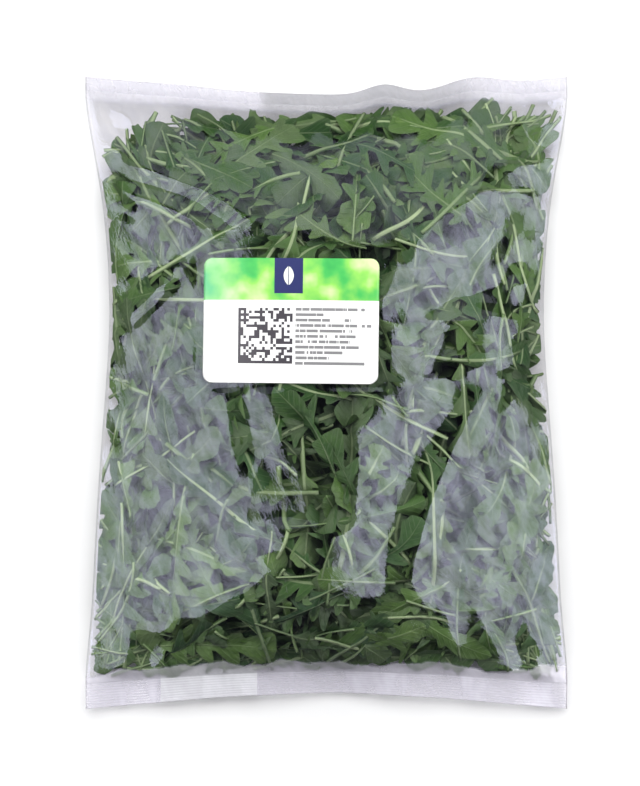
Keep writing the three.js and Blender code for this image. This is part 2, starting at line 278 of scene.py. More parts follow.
def gather_height(u, v):
    """Pleats that run in from the end seals, and puckers that run in from the side folds: sine waves
    along each edge, whose phase drifts, under a bell curve away from it."""
    from_fin = (fin_start(v) - np.abs(v)) * HALF_LENGTH
    from_side = (1 - np.abs(u)) * HALF_WIDTH
    pleat = np.sin(2 * np.pi * u * HALF_WIDTH / PLEAT_PITCH + PLEAT_DRIFT * v)
    drift = PUCKER_DRIFT_ACROSS * u + PUCKER_DRIFT_ALONG * v * v
    pucker = np.sin(2 * np.pi * v * HALF_LENGTH / PUCKER_PITCH + drift)
    return PLEAT_HEIGHT * pleat * bell(from_fin - PLEAT_REACH, PLEAT_REACH) + (
        PUCKER_HEIGHT * pucker * bell(from_side - PUCKER_REACH, PUCKER_REACH)
    )


def calm(x, y):
    """0 under the label, which holds the film smooth, and 1 away from it."""
    out_x = np.abs(x - LABEL_CENTRE_X) - LABEL_WIDTH / 2
    out_y = np.abs(y - LABEL_CENTRE_Y) - LABEL_HEIGHT / 2
    return smoothstep(*LABEL_CALM_SPAN, np.maximum(out_x, out_y))


def crinkle_height(u, v):
    """Fine creases: ridges of smooth noise, finer and taller near the folds and the seals."""
    s, t = u * HALF_WIDTH, v * HALF_LENGTH
    edge = np.maximum(
        smoothstep(*CREASE_SIDE_SPAN, np.abs(u)), smoothstep(*CREASE_END_SPAN, np.abs(v))
    )
    broad = 1 - np.abs(lattice_noise(s / BROAD_CELL[0], t / BROAD_CELL[1], 3))
    fine = 1 - np.abs(lattice_noise(s / FINE_CELL[0] + t / FINE_SLANT, t / FINE_CELL[1], 8))
    return (BROAD_HEIGHT + BROAD_EDGE_HEIGHT * edge) * broad**2 + (
        FINE_HEIGHT + FINE_EDGE_HEIGHT * edge
    ) * fine**2


def front_point(u, v):
    """The front film: an arc of a circle across the bag, measured along the arc, plus its relief."""
    rise = FRONT_RISE * fullness(v)
    chord = half_chord(rise)
    angle = np.maximum(2 * np.arctan2(rise, chord), 1e-3)
    x = chord * np.sin(angle * u) / np.sin(angle)
    y = plan_y(u, v)
    arch = (np.cos(angle * u) - np.cos(angle)) / (1 - np.cos(angle))
    from_side, from_fin = 1 - np.abs(u), fin_start(v) - np.abs(v)
    inside = smoothstep(0, RELIEF_RISE_SIDE, from_side) * smoothstep(0, RELIEF_RISE_FIN, from_fin)
    near = np.minimum(1, from_side / GATHER_RISE_SIDE) * smoothstep(0, GATHER_RISE_FIN, from_fin)
    gathered = (gather_height(u, v) + crinkle_height(u, v)) * near
    relief = calm(x, y) * ((fold_height(x, y) + lump_height(x, y)) * inside + gathered)
    rim = np.minimum(1, RIM_STEEPNESS * np.minimum(from_side, 1 - np.abs(v)))
    z = seam_height(u, v) + FILM_SPACING / 2 * rim + rise * arch + relief
    return np.stack([x, y, z], axis=-1)


def back_point(u, v):
    """The back film: flat on the table, turning up to the seam near every edge."""
    chord = half_chord(FRONT_RISE * fullness(v))
    level = 1 - smoothstep(BACK_LIFT_ACROSS, 1, np.abs(u))
    level = level * (1 - smoothstep(BACK_LIFT_ALONG, fin_start(v), np.abs(v)))
    rim = np.minimum(1, RIM_STEEPNESS * np.minimum(1 - np.abs(u), 1 - np.abs(v)))
    z = (seam_height(u, v) - FILM_SPACING / 2 * rim) * (1 - level) ** BACK_LIFT_POWER
    return np.stack([chord * u, plan_y(u, v), z], axis=-1)


class Skin:
    """A film face as a grid of points and outward normals, which at() blends between."""

    def __init__(self, u, v, points, outward, depth):
        self.u, self.v, self.points, self.depth = u, v, points, depth
        normals = np.cross(np.gradient(points, axis=1), np.gradient(points, axis=0))
        normals /= np.linalg.norm(normals, axis=-1, keepdims=True) + 1e-9
        self.normals = normals * outward

    def at(self, u, v):
        """Point, normal and room behind the film at any u and v, by blending four grid corners."""
        col = np.clip(np.interp(u, self.u, np.arange(self.u.size)), 0, self.u.size - 1.001)
        row = np.clip(np.interp(v, self.v, np.arange(self.v.size)), 0, self.v.size - 1.001)
        i, j = col.astype(int), row.astype(int)
        fx, fy = (col - i)[..., None], (row - j)[..., None]

        def blend(grid):
            low = grid[j, i] * (1 - fx) + grid[j, i + 1] * fx
            high = grid[j + 1, i] * (1 - fx) + grid[j + 1, i + 1] * fx
            return low * (1 - fy) + high * fy

        return blend(self.points), blend(self.normals), blend(self.depth[..., None])[..., 0]


def film_grid():
    """Even columns, and rows that are closer together in the crimped fins."""
    u = np.linspace(-1, 1, FILM_COLUMNS + 1)
    bottom = np.linspace(-1, -BOTTOM_FIN_START, FILM_BOTTOM_ROWS + 1)
    body = np.linspace(-BOTTOM_FIN_START, TOP_FIN_START, FILM_BODY_ROWS + 1)
    top = np.linspace(TOP_FIN_START, 1, FILM_TOP_ROWS + 1)
    return u, np.concatenate([bottom[:-1], body, top[1:]])


def make_skins():
    """The front and back film as skins, with the room between them at each point."""
    u, v = film_grid()
    uu, vv = np.meshgrid(u, v)
    front, back = front_point(uu, vv), back_point(uu, vv)
    room = np.maximum(front[..., 2] - back[..., 2], 0)
    return Skin(u, v, front, 1, room), Skin(u, v, back, -1, room)


# Meshes


def new_piece(name, points, faces, material, smooth=True):
    """A mesh object in the row frame from points in millimetres and a list of face arrays."""
    mesh = bpy.data.meshes.new(name)
    mesh.from_pydata((np.asarray(points).reshape(-1, 3) * METRES).tolist(), [], faces)
    mesh.polygons.foreach_set("use_smooth", np.full(len(mesh.polygons), smooth))
    mesh.materials.append(material)
    mesh.update()
    piece = bpy.data.objects.new(name, mesh)
    bpy.context.scene.collection.objects.link(piece)
    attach(piece, "root")
    return piece


def put_attribute(piece, name, values):
    """Stores one number for each vertex."""
    layer = piece.data.attributes.new(name, "FLOAT", "POINT")
    layer.data.foreach_set("value", np.asarray(values, np.float32).ravel())


def put_uv(piece, name, per_vertex):
    """Gives each face corner its vertex's two coordinates."""
    loops = np.empty(len(piece.data.loops), np.int32)
    piece.data.loops.foreach_get("vertex_index", loops)
    layer = piece.data.uv_layers.new(name=name)
    layer.data.foreach_set("uv", np.asarray(per_vertex, np.float32).reshape(-1, 2)[loops].ravel())


def grid_faces(index):
    """Quads between the neighbours of a two-way table of vertex numbers."""
    a, b, c, d = index[:-1, :-1], index[:-1, 1:], index[1:, 1:], index[1:, :-1]
    return np.stack([a, b, c, d], axis=-1).reshape(-1, 4)


def back_faces(loop, inner_start):
    """A cell of the back film as one face. The vertices from inner_start on are off the rim, and a
    corner cell, which has just one of them, is a fan of triangles about it."""
    inner = [place for place, vertex in enumerate(loop) if vertex >= inner_start]
    if len(inner) > 1:
        return [loop]
    fan = loop[inner[0]:] + loop[:inner[0]]
    return [[fan[0], a, b] for a, b in zip(fan[1:], fan[2:])]


def make_film(front, back, material):
    """The closed bag: the front grid, and a back grid half as fine that shares the front's edge."""
    rows, columns = front.points.shape[:2]
    front_index = np.arange(rows * columns).reshape(rows, columns)
    coarse = np.zeros((rows, columns), bool)
    coarse[2:-2:2, 2:-2:2] = True
    back_index = np.full((rows, columns), -1)
    back_index[coarse] = rows * columns + np.arange(coarse.sum())
    for edge in (np.s_[0, :], np.s_[-1, :], np.s_[:, 0], np.s_[:, -1]):
        back_index[edge] = front_index[edge]
    points = np.concatenate([front.points.reshape(-1, 3), back.points[coarse]])
    faces = grid_faces(front_index).tolist()
    ring = [(0, 0), (1, 0), (2, 0), (2, 1), (2, 2), (1, 2), (0, 2), (0, 1)]
    around = np.stack(
        [back_index[dj : rows - 2 + dj : 2, di : columns - 2 + di : 2] for dj, di in ring], axis=-1
    )
    for cell in around.reshape(-1, 8).tolist():
        faces += back_faces([k for k in cell if k >= 0], rows * columns)
    film = new_piece("film", points, faces, material)
    flat = np.stack(np.meshgrid(front.u * HALF_WIDTH, front.v * HALF_LENGTH), axis=-1)
    put_uv(film, "flat", np.concatenate([flat.reshape(-1, 2), flat[coarse]]) * UV_SCALE)
    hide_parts("bag")
    return film


# Leaves

# Each kind: share of all leaves, length and stalk share, half width of the rachis and reach of the
# lobes beyond it in mm, pairs of lobes, half length of a lobe and of the tip as shares of the blade,
# how far the lobes sweep forward, and rows of points along the blade
LEAF_KINDS = {
    "lobed_leaves": dict(
        share=0.2, length=(72, 116), stalk=(0.18, 0.3), rachis=(1.0, 2.2), reach=(8, 14),
        lobes=4, lobe_half=0.06, tip_half=0.15, sweep=0.55, rows=44,
    ),
    "cut_leaves": dict(
        share=0.2, length=(60, 104), stalk=(0.16, 0.28), rachis=(0.7, 1.5), reach=(8, 14),
        lobes=3, lobe_half=0.05, tip_half=0.16, sweep=0.8, rows=44,
    ),
    "forked_leaves": dict(
        share=0.18, length=(56, 98), stalk=(0.18, 0.3), rachis=(0.8, 1.8), reach=(7, 12),
        lobes=2, lobe_half=0.07, tip_half=0.18, sweep=0.75, rows=38,
    ),
    "broad_leaves": dict(
        share=0.1, length=(55, 92), stalk=(0.16, 0.28), rachis=(2.4, 4.2), reach=(5, 9),
        lobes=4, lobe_half=0.06, tip_half=0.17, sweep=0.5, rows=36,
    ),
    "slim_leaves": dict(
        share=0.13, length=(60, 105), stalk=(0.2, 0.34), rachis=(2, 3.6), reach=(2.5, 6),
        lobes=3, lobe_half=0.05, tip_half=0.3, sweep=0.5, rows=30,
    ),
    "young_leaves": dict(
        share=0.15, length=(32, 54), stalk=(0.22, 0.34), rachis=(1.4, 2.6), reach=(4, 7),
        lobes=2, lobe_half=0.09, tip_half=0.24, sweep=0.45, rows=24,
    ),
    "loose_stalks": dict(
        share=0.04, length=(30, 82), stalk=(0.9, 0.94), rachis=(0.2, 0.4), reach=(0.2, 0.6),
        lobes=1, lobe_half=0.2, tip_half=0.4, sweep=0.3, rows=6,
    ),
}
STALK_ROWS = 7
STALK_HALF_WIDTH = (0.55, 1.35)
LEAF_SEED = 20

# The outline: how blunt a lobe is, the share of the reach that the margin's teeth take, and their
# waves along the blade
LOBE_POWER = 2.2
TOOTH, TOOTH_WAVES = 0.1, (26, 44)
LEAST_HALF_WIDTH = 0.12

# A ring has six points over the upper face and three under the lower one. UNDER is the share of each
# that belongs to the lower face, and MARGINS are the two points where the faces meet
UNDER = [0.5, 0, 0, 0, 0, 0.5, 1, 1, 1]
MARGINS = (0, 5)
BLADE_HALF_THICKNESS = 0.15

# How much leaves differ as they lie: the turn and the wave of the midrib in its plane, and, in mm, a
# wave along the leaf, its tilt, its roll, the curl of its margins with its mean, its fold along the
# midrib, its twist and the ruffle of its margins. Those across the leaf are for POSE_WIDTH
BEND_TURN, BEND_WAVE = 0.34, 0.15
WAVE, TILT, ROLL, CURL, MEAN_CURL, FOLD, TWIST, RUFFLE = 3.6, 12.0, 6.0, 3.0, 0.3, 3.4, 5.0, 0.9
POSE_WIDTH = 9.0
FLIPPED_SHARE = 0.35
PHASE = (0, 6.28)

# Close to the film a leaf presses flat: its least depth, how softly it comes to that, and the least
# depth of any point. U_LIMIT keeps leaves off the side folds
MARGIN = 0.7
PRESS_SOFTNESS = 0.8
LEAST_DEPTH = 0.12
U_LIMIT = 0.985

# Which share of the room behind each film its leaves may take
FRONT_ROOM, BACK_ROOM = 0.52, 0.44

# Layers of leaves below each film, from the deepest: depth below it and spacing of the leaves. Their
# centres keep within these shares of the flat film
FRONT_LAYERS = [(21.5, 30), (17, 31), (13.5, 32), (10.5, 33), (7.8, 34), (5.4, 36), (3.2, 38)]
BACK_LAYERS = [(8, 34), (5, 36), (2.4, 42)]
LAYER_JITTER = 0.45
LAYER_HALF_WIDTH, LAYER_HALF_LENGTH = 0.95, 0.92

# Leaves that lie along the sides and the ends: distance between them, share of each edge that they
# cover and depth below the film
BORDER_SPACING = 15
BORDER_JITTER = 0.4
BORDER_SHARE = 0.88
BORDER_DEPTH = (1.5, 7)

# Close to an edge most leaves lie along it: from where on, how many and how nearly
EDGE_SPAN = (0.7, 0.9)
EDGE_SHARE = 0.7
EDGE_STRAY = 0.35

# How far the leaves reach on the flat film: direction outwards and distance in mm, for the four
# sides and the four corners, which stay bare
LEAF_LIMITS = [
    ((-1, 0), 144), ((1, 0), 143), ((0, 1), 175), ((0, -1), 171),
    ((-0.6, 0.8), 198), ((0.7, 0.714), 214), ((-0.6, -0.8), 213), ((0.6, -0.8), 214),
]

# How far short of those limits the leaves stay, typically: those of the layers, and those that lie
# along the sides and along the ends
LAYER_STRAY, SIDE_STRAY, END_STRAY = 7, 4.5, 5

# The packed middle: how far below the front film and above the back film it lies, at most which share
# of the room there, its half size and cells on the flat film, how fast it opens in from its edge, and
# its lumps: height, waves across and along, and seed
CORE_DEPTH, CORE_LIFT = 27, 10
CORE_FRONT_ROOM, CORE_BACK_ROOM = 0.55, 0.4
CORE_HALF_SIZE = 0.8
CORE_COLUMNS, CORE_ROWS = 90, 110
CORE_OPENING = 5
CORE_LUMPS = [(2.2, 14, 18, 5), (1.2, 33, 40, 6)]


def spread(rng, span, n):
    """n even draws between the two ends of span, as a column."""
    return rng.uniform(span[0], span[1], (n, 1))


def leaf_half_width(rng, kind, n, blade, rachis, reach, tip_half):
    """Half the blade's width along one side: a rachis that carries blunt lobes, larger towards the
    tip, and an oval end lobe. Each lobe falls off as a power of the distance from its middle."""
    envelope = 0.45 + 0.55 * smoothstep(0, 0.55, blade)
    lobed = np.zeros_like(blade)
    for k in range(kind["lobes"]):
        pitch = (0.92 - 1.6 * tip_half) / kind["lobes"]
        centre = 0.1 + (k + 0.35) * pitch + rng.normal(0, 0.02, (n, 1))
        half = kind["lobe_half"] * spread(rng, (0.75, 1.25), n)
        near = np.clip(1 - np.abs((blade - centre) / half) ** LOBE_POWER, 0, 1)
        lobed = np.maximum(lobed, spread(rng, (0.5, 1.1), n) * near)
    tip = np.sqrt(np.clip(1 - ((blade - (1 - tip_half)) / tip_half) ** 2, 0, 1))
    before = smoothstep(1 - 2 * tip_half, 1 - tip_half, blade)
    tip = np.where(blade > 1 - tip_half, tip, tip * before) * spread(rng, (0.6, 0.95), n)
    flare = smoothstep(0, 0.16, blade)
    toothed = 1 + TOOTH * np.sin(blade * spread(rng, TOOTH_WAVES, n) + spread(rng, PHASE, n))
    lobes = reach * envelope * toothed * np.maximum(lobed, tip)
    return flare * (rachis * (1 - blade**6) + lobes) + LEAST_HALF_WIDTH


def grow_leaves(rng, kind, n):
    """n flat leaves of one kind, as points along, across and through each, ring by ring. The stalk
    thins along the blade as its midrib, and lobes sweep forward by a share of their reach."""
    length, stalk = spread(rng, kind["length"], n), spread(rng, kind["stalk"], n)
    rachis, reach = spread(rng, kind["rachis"], n), spread(rng, kind["reach"], n)
    tip_half = kind["tip_half"] * spread(rng, (0.85, 1.15), n)
    stalk_half = spread(rng, STALK_HALF_WIDTH, n)
    foot = np.linspace(0, 1, STALK_ROWS + 1)[None, :-1] * stalk
    rest = stalk + (1 - stalk) * np.linspace(0, 1, kind["rows"] + 1)[None]
    t = np.concatenate([foot, rest], axis=1)
    blade = np.clip((t - stalk) / (1 - stalk), 0, 1)
    rib = stalk_half * (1 - 0.62 * blade)
    left, right = (
        leaf_half_width(rng, kind, n, blade, rachis, reach, tip_half) + stalk_half * (1 - blade**3)
        for _ in range(2)
    )
    near_left, near_right = np.minimum(rib / left, 0.6), np.minimum(rib / right, 0.6)
    none = np.zeros_like(t)
    across = np.stack([
        -left, -(0.5 + 0.5 * near_left) * left, -near_left * left,
        near_right * right, (0.5 + 0.5 * near_right) * right, right,
        0.5 * right, none, -0.5 * left,
    ], axis=-1)
    crown = 0.25 + 0.5 * stalk_half * (1 - blade)
    thin = none + BLADE_HALF_THICKNESS
    through = np.stack([none, thin, crown, crown, thin, none, -thin, -1.2 * crown, -thin], axis=-1)
    swept = kind["sweep"] * np.maximum(np.abs(across) - rachis[..., None] - 1.5, 0)
    near_tip = np.minimum(1, (1 - t) * length * 0.6)[..., None]
    return {
        "t": t, "length": length, "across": across, "through": through, "rib": rib,
        "along": (t * length)[..., None] + swept * near_tip,
    }


def bend_leaf(rng, leaf, n):
    """Curves each leaf in its own plane: its heading turns evenly, plus a slow wave, and the midrib
    is the running sum of the steps along that heading."""
    t, length = leaf["t"], leaf["length"]
    turn, wave = rng.normal(0, BEND_TURN, (n, 1)), rng.normal(0, BEND_WAVE, (n, 1))
    heading = turn * (t - 0.5) + wave * np.sin(2 * np.pi * t + spread(rng, PHASE, n))
    step = np.diff(t, axis=1) * length
    middle = (heading[:, 1:] + heading[:, :-1]) / 2
    start = np.zeros((n, 1))
    mid_x = np.concatenate([start, np.cumsum(step * np.cos(middle), axis=1)], axis=1)
    mid_y = np.concatenate([start, np.cumsum(step * np.sin(middle), axis=1)], axis=1)
    mid_x -= mid_x.mean(axis=1, keepdims=True)
    mid_y -= mid_y.mean(axis=1, keepdims=True)
    ahead = leaf["along"] - (t * length)[..., None]
    cos, sin = np.cos(heading)[..., None], np.sin(heading)[..., None]
    x = mid_x[..., None] + ahead * cos - leaf["across"] * sin
    y = mid_y[..., None] + ahead * sin + leaf["across"] * cos
    return x, y


def keep_inside(rng, x, y, stray):
    """Shifts each leaf inwards until no point of it passes its own copy of the limits, which are
    drawn nearer by a random amount of about its stray."""
    for _ in range(2):
        for (out_x, out_y), reach in LEAF_LIMITS:
            own = reach - np.abs(rng.normal(0, stray))
            over = np.maximum((x * out_x + y * out_y).max(axis=(1, 2)) - own, 0)[:, None, None]
            x, y = x - out_x * over, y - out_y * over
    return x, y


def lay_leaves(rng, leaf, n, skin, spot, room_share):
    """Lays flat leaves under a skin. A leaf follows the film at its own depth, which waves along it,
    curls and folds across it and tilts; near the film it presses flat against it. Some lie face
    down."""
    flip = np.where(rng.uniform(0, 1, (n, 1, 1)) < FLIPPED_SHARE, -1, 1)
    leaf["across"] = leaf["across"] * flip
    flat_x, flat_y = bend_leaf(rng, leaf, n)
    turn = leaf_headings(rng, spot[:, 0], spot[:, 1])[:, None, None]
    cos, sin = np.cos(turn), np.sin(turn)
    x = spot[:, 0, None, None] + flat_x * cos - flat_y * sin
    y = spot[:, 1, None, None] + flat_x * sin + flat_y * cos
    x, y = keep_inside(rng, x, y, spot[:, 3])
    share, across = leaf["t"][..., None], leaf["across"] / POSE_WIDTH

    def draw(low, high):
        return rng.uniform(low, high, (n, 1, 1))

    def scatter(size):
        return rng.normal(0, size, (n, 1, 1))

    wave = scatter(WAVE) * np.sin(2 * np.pi * share * draw(0.6, 1.3) + draw(*PHASE))
    tilt = scatter(TILT) * (share - 0.5)
    roll = scatter(ROLL) * across
    curl = (scatter(CURL) + MEAN_CURL) * across**2
    fold = scatter(FOLD) * np.abs(across)
    twist = scatter(TWIST) * across * np.sin(3.5 * share + draw(*PHASE))
    ruffle = RUFFLE * across**2 * np.sin(share * draw(18, 34) + 1.5 * np.sign(across))
    want = spot[:, 2, None, None] + wave + tilt + roll - curl - fold - twist - ruffle
    point, normal, room = skin.at(np.clip(x / HALF_WIDTH, -U_LIMIT, U_LIMIT), y / HALF_LENGTH)
    pressed = MARGIN + PRESS_SOFTNESS * np.logaddexp(0, (want - MARGIN) / PRESS_SOFTNESS)
    depth = np.minimum(pressed, room_share * room) - leaf["through"] * flip
    depth = np.maximum(depth, LEAST_DEPTH)
    return point - normal * depth[..., None], depth


def ring_faces(n, rows, ring):
    """Quads round n closed tubes of rings, with a cap on both ends."""
    index = np.arange(n * rows * ring).reshape(n, rows, ring)
    onward = np.roll(index, -1, axis=2)
    quads = np.stack([index[:, :-1], index[:, 1:], onward[:, 1:], onward[:, :-1]], axis=-1)
    caps = index[:, 0].tolist() + index[:, -1, ::-1].tolist()
    return quads.reshape(-1, 4).tolist() + caps


def mark_margins(piece, ring):
    """Makes the long edges at both margins sharp, so that each face of a leaf is shaded by itself."""
    mesh = piece.data
    ends = np.empty(len(mesh.edges) * 2, np.int32)
    mesh.edges.foreach_get("vertices", ends)
    places = ends.reshape(-1, 2) % ring
    on_margin = (places[:, 0] == places[:, 1]) & np.isin(places[:, 0], MARGINS)
    sharp = mesh.attributes.new("sharp_edge", "BOOLEAN", "EDGE")
    sharp.data.foreach_set("value", on_margin)


def scatter_spots(rng, layers):
    """Centres on the flat film, with a depth and a stray for each: a shifted, jittered grid for each
    layer."""
    spots = []
    for depth, spacing in layers:
        shift = rng.uniform(0, spacing, 2)
        xs = np.arange(-HALF_WIDTH, HALF_WIDTH, spacing) + shift[0]
        ys = np.arange(-HALF_LENGTH, HALF_LENGTH, spacing) + shift[1]
        x, y = (g.ravel() for g in np.meshgrid(xs, ys))
        x = x + rng.uniform(-LAYER_JITTER, LAYER_JITTER, x.size) * spacing
        y = y + rng.uniform(-LAYER_JITTER, LAYER_JITTER, x.size) * spacing
        keep = np.abs(x) < LAYER_HALF_WIDTH * HALF_WIDTH
        keep &= np.abs(y) < LAYER_HALF_LENGTH * HALF_LENGTH
        stray = np.full(keep.sum(), LAYER_STRAY)
        spots.append(np.stack([x[keep], y[keep], rng.normal(depth, 1.0, stray.size), stray], axis=-1))
    return np.concatenate(spots)


def border_spots(rng):
    """Centres round the rim of the flat film, beyond where leaves reach, so that keep_inside brings
    each of those leaves to lie along its side or end."""
    spots = []
    rims = ((HALF_LENGTH, HALF_WIDTH, SIDE_STRAY, False), (HALF_WIDTH, HALF_LENGTH, END_STRAY, True))
    for half, other, short_by, swap_axes in rims:
        along = np.tile(np.arange(-BORDER_SHARE * half, BORDER_SHARE * half, BORDER_SPACING), 2)
        beyond = np.repeat([-1.0, 1.0], along.size // 2) * other
        along = along + rng.uniform(-BORDER_JITTER, BORDER_JITTER, along.size) * BORDER_SPACING
        x, y = (along, beyond) if swap_axes else (beyond, along)
        stray = np.full(along.size, short_by)
        spots.append(np.stack([x, y, rng.uniform(*BORDER_DEPTH, along.size), stray], axis=-1))
    return np.concatenate(spots)


def leaf_headings(rng, x, y):
    """Any direction in the middle of the bag, and along the edge close to it."""
    n = x.size
    free = rng.uniform(0, 2 * np.pi, n)
    flip = np.pi * rng.integers(0, 2, n)
    by_side = np.pi / 2 + flip + rng.normal(0, EDGE_STRAY, n)
    by_end = flip + rng.normal(0, EDGE_STRAY, n)
    side_share = EDGE_SHARE * smoothstep(*EDGE_SPAN, np.abs(x) / HALF_WIDTH)
    end_share = EDGE_SHARE * smoothstep(*EDGE_SPAN, np.abs(y) / HALF_LENGTH)
    pick = rng.uniform(0, 1, n)
    heading = np.where(pick < side_share, by_side, free)
    return np.where((pick < end_share) & (end_share > side_share), by_end, heading)


def leaf_batch(rng, kind, skin, spot, room_share):
    """The leaves of one kind below one film: their points, depths, tones, ribs and flat places."""
    n = len(spot)
    leaf = grow_leaves(rng, kind, n)
    laid, depth = lay_leaves(rng, leaf, n, skin, spot, room_share)
    shape = depth.shape
    tone = np.broadcast_to(rng.uniform(0, 1, (n, 1, 1)), shape)
    rib = np.broadcast_to(leaf["rib"][..., None], shape)
    flat = np.stack([leaf["across"], np.broadcast_to(leaf["along"], shape)], axis=-1)
    return laid, depth, tone, rib, flat


def make_leaves(front, back, material):
    """Every leaf of the bag, one piece for each kind. Front leaves lie in layers below the front
    film, and back leaves in fewer layers above the back film."""
    rng = np.random.default_rng(LEAF_SEED)
    shares = np.array([kind["share"] for kind in LEAF_KINDS.values()])
    sides = []
    for skin, layers, room_share in ((front, FRONT_LAYERS, FRONT_ROOM), (back, BACK_LAYERS, BACK_ROOM)):
        spots = np.concatenate([scatter_spots(rng, layers), border_spots(rng)])
        sides.append((skin, spots, rng.choice(len(shares), len(spots), p=shares), room_share))
    for number, (name, kind) in enumerate(LEAF_KINDS.items()):
        batches = [
            leaf_batch(rng, kind, skin, spots[picks == number], room_share)
            for skin, spots, picks, room_share in sides
        ]
        points, deep, tone, rib, flat = (np.concatenate(both) for both in zip(*batches))
        count, rows, ring = deep.shape
        piece = new_piece(name, points, ring_faces(count, rows, ring), material)
        mark_margins(piece, ring)
        put_attribute(piece, "tone", tone)
        put_attribute(piece, "under", np.tile(UNDER, count * rows))
        put_attribute(piece, "rib", rib)
        put_attribute(piece, "deep", deep)
        put_uv(piece, "leaf", flat * UV_SCALE)
        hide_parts("bag")


def make_core(front, back, material):
    """The packed middle of the heap, dark with painted shade: a closed lumpy cushion well inside both
    films.
    """
    u, v = np.meshgrid(
        np.linspace(-CORE_HALF_SIZE, CORE_HALF_SIZE, CORE_COLUMNS),
        np.linspace(-CORE_HALF_SIZE, CORE_HALF_SIZE, CORE_ROWS),
    )
    lumps = sum(
        height * lattice_noise(u * across, v * along, seed)
        for height, across, along, seed in CORE_LUMPS
    )
    edge = 1 - np.maximum(np.abs(u), np.abs(v)) / CORE_HALF_SIZE
    top, top_normal, room = front.at(u, v)
    low, low_normal, _ = back.at(u, v)
    fade = np.clip(edge * CORE_OPENING, 0, 1)
    top = top - top_normal * (np.minimum(CORE_DEPTH + lumps, CORE_FRONT_ROOM * room))[..., None]
    low = low - low_normal * (np.minimum(CORE_LIFT + lumps, CORE_BACK_ROOM * room))[..., None]
    middle = (top + low) / 2
    top = middle + (top - middle) * fade[..., None]
    low = middle + (low - middle) * fade[..., None]
    rows, columns = u.shape
    top_index = np.arange(rows * columns).reshape(rows, columns)
    low_index = top_index.copy()
    low_index[1:-1, 1:-1] = rows * columns + np.arange((rows - 2) * (columns - 2)).reshape(rows - 2, -1)
    points = np.concatenate([top.reshape(-1, 3), low[1:-1, 1:-1].reshape(-1, 3)])
    faces = grid_faces(top_index).tolist() + grid_faces(low_index)[:, ::-1].tolist()
    core = new_piece("packed_middle", points, faces, material)
    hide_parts("bag")


# Label


def make_label(front, material):
    """A thin sheet with round corners: rows that shorten at the corners, wrapped over the film."""
    straight = LABEL_HEIGHT / 2 - LABEL_CORNER
    turn = np.linspace(0, np.pi / 2, LABEL_CORNER_STEPS + 1)
    low_q, low_inset = -straight - LABEL_CORNER * np.cos(turn), LABEL_CORNER * (1 - np.sin(turn))
    middle_q = np.linspace(-straight, straight, LABEL_MIDDLE_STEPS + 1)[1:-1]
    q = np.concatenate([low_q, middle_q, -low_q[::-1]])
    inset = np.concatenate([low_inset, np.zeros(middle_q.size), low_inset[::-1]])
    p = (LABEL_WIDTH / 2 - inset)[:, None] * np.linspace(-1, 1, LABEL_COLUMNS + 1)[None]
    q = np.broadcast_to(q[:, None], p.shape)
    x = LABEL_CENTRE_X + p * math.cos(LABEL_TURN) - q * math.sin(LABEL_TURN)
    y = LABEL_CENTRE_Y + p * math.sin(LABEL_TURN) + q * math.cos(LABEL_TURN)
    point, normal, _ = front.at(x / HALF_WIDTH, y / HALF_LENGTH)
    high = point + normal * (LABEL_GAP + LABEL_THICKNESS)
    low = point + normal * LABEL_GAP
    rows, width = p.shape
    high_index = np.arange(rows * width).reshape(rows, width)
    low_index = high_index + rows * width
    border = np.concatenate([
        np.stack([np.zeros(width, int), np.arange(width)], 1),
        np.stack([np.arange(1, rows), np.full(rows - 1, width - 1)], 1),
        np.stack([np.full(width - 1, rows - 1), np.arange(width - 2, -1, -1)], 1),
        np.stack([np.arange(rows - 2, 0, -1), np.zeros(rows - 2, int)], 1),
    ])
    high_rim, low_rim = (index[border[:, 0], border[:, 1]] for index in (high_index, low_index))
    wall = np.stack([high_rim, low_rim, np.roll(low_rim, -1), np.roll(high_rim, -1)], axis=-1)
    faces = np.concatenate([grid_faces(high_index), grid_faces(low_index)[:, ::-1], wall]).tolist()
    points = np.concatenate([high.reshape(-1, 3), low.reshape(-1, 3)])
    label = new_piece("printed_label", points, faces, material)
    flat = np.stack([p, q], axis=-1).reshape(-1, 2)
    put_uv(label, "print", np.concatenate([flat, flat]) * UV_SCALE)
    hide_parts("label")


# Materials

# The film: what passes through it, its tint where clear, and the colours of the fins and of the hazy
# film beside the top one
FILM_PASSES = (0.95, 0.945, 0.955)
FILM_TINT = (0.74, 0.76, 0.97)
FIN_COLOUR = (0.9, 0.88, 0.98)
LAP_COLOUR = (0.95, 0.95, 1.0)
TOP_COLOUR = (0.7, 0.69, 0.77)
TOP_MIDDLE_COLOUR = (0.46, 0.46, 0.49)

# The film's mirror share: its level, its least part with what fine clouds and coarse ones add to it,
# and what a grazing view adds
MIRROR_SHARE = 0.087
MIRROR_LEAST, MIRROR_CLOUD, MIRROR_MOTTLE = 0.28, 0.35, 0.95
GRAZE_SHARE = 0.12

# Leaf greens from dark to light, and the colours that are mixed into them
LEAF_GREENS = [
    (0.0, (0.007, 0.025, 0.005)), (0.28, (0.019, 0.057, 0.009)), (0.6, (0.05, 0.106, 0.019)),
    (0.82, (0.088, 0.162, 0.034)), (1.0, (0.16, 0.25, 0.065)),
]
COOL_GREEN = (0.03, 0.07, 0.038)
UNDERSIDE_GREEN = (0.085, 0.12, 0.06)
VEIN_GREEN = (0.16, 0.25, 0.1)
MIDRIB_COLOUR = (0.34, 0.43, 0.23)
SHADE = (0.003, 0.008, 0.003)
# Painted shade: the greens of the leaves deep in the heap, much darker than the leaves' own
CORE_SHADE_GREENS = [(0.3, (0.006, 0.014, 0.006)), (0.6, (0.03, 0.07, 0.022)), (0.8, (0.06, 0.12, 0.04))]

# Side veins: how far they slant towards the tip for each mm across, and their pitch along the leaf
VEIN_SLANT, VEIN_PITCH = 1.1, 4.2

